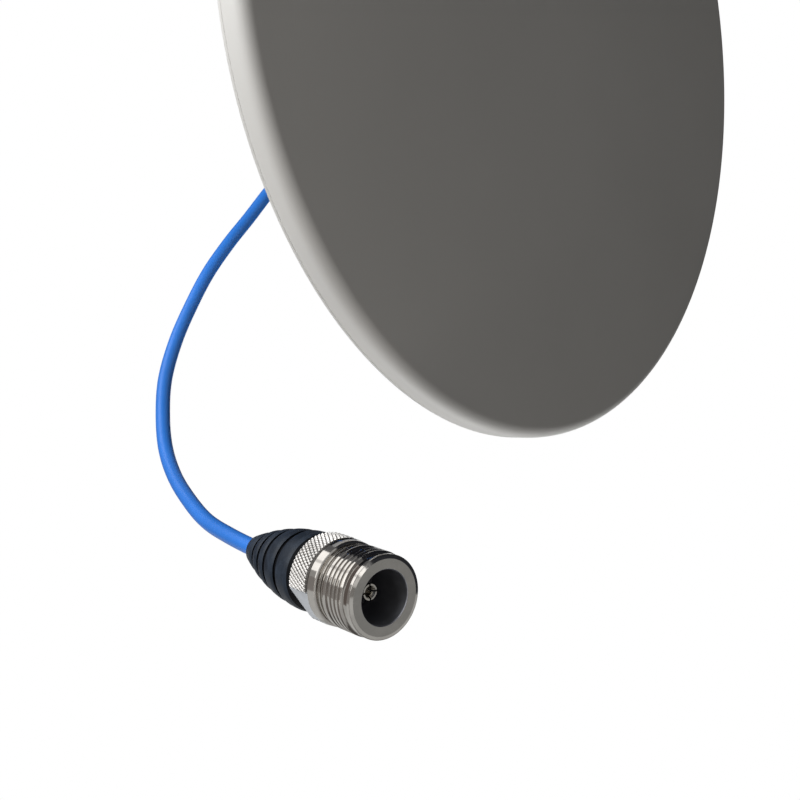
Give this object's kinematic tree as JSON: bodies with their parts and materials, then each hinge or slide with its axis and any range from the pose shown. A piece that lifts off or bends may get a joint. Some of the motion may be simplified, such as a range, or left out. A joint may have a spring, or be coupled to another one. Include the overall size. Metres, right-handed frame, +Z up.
{
  "type": "ceiling antenna",
  "caption": "Flat round ceiling antenna with a pale radome, a hollow mounting stud with nut and washer, and a short blue coaxial cable that hangs down to a threaded jack with a ribbed boot.",
  "frame": {"origin": "centre of the ceiling face, the flat back of the base plate", "axes": "+Z up into the ceiling, along the mounting stud; +X towards the side where the lead hangs over the disc's edge"},
  "size_m": [0.2945, 0.22, 0.1188],
  "materials": {
    "radome_plastic": "fine matte moulded plastic, off-white",
    "base_plastic": "matte moulded plastic, off-white",
    "screw_steel": "zinc-plated steel",
    "nut_plastic": "moulded plastic, off-white",
    "washer_steel": "zinc-plated steel",
    "cap_plastic": "moulded plastic, off-white",
    "bushing_rubber": "black rubber",
    "board_laminate": "glass-fibre laminate",
    "foil_copper": "copper foil",
    "pin_brass": "turned brass",
    "screw_nylon": "natural nylon",
    "foam": "closed-cell foam",
    "solder": "tin solder",
    "cable_jacket": "smooth blue jacket",
    "boot_rubber": "black rubber",
    "nickel": "nickel plate",
    "insulator_plastic": "dark plastic",
    "contact_plating": "plated contact"
  },
  "bodies": {
    "root": {"radome": "radome_plastic", "base_plate": "base_plastic", "cover_screws": "screw_steel", "mounting_nut": "nut_plastic", "nut_washer": "washer_steel", "gland_cap": "cap_plastic", "cable_bushing": "bushing_rubber", "antenna_board": "board_laminate", "upper_foil": "foil_copper", "lower_foil": "foil_copper", "shorting_pins": "pin_brass", "board_screws": "screw_nylon", "foam_pad": "foam", "feed_ferrule": "pin_brass", "feed_pin": "pin_brass", "feed_solder": "solder", "coax_cable": "cable_jacket", "connector_boot": "boot_rubber", "cable_ferrule": "pin_brass", "connector_body": "nickel", "connector_insulator": "insulator_plastic", "centre_contact": "contact_plating"}
  },
  "joints": []
}
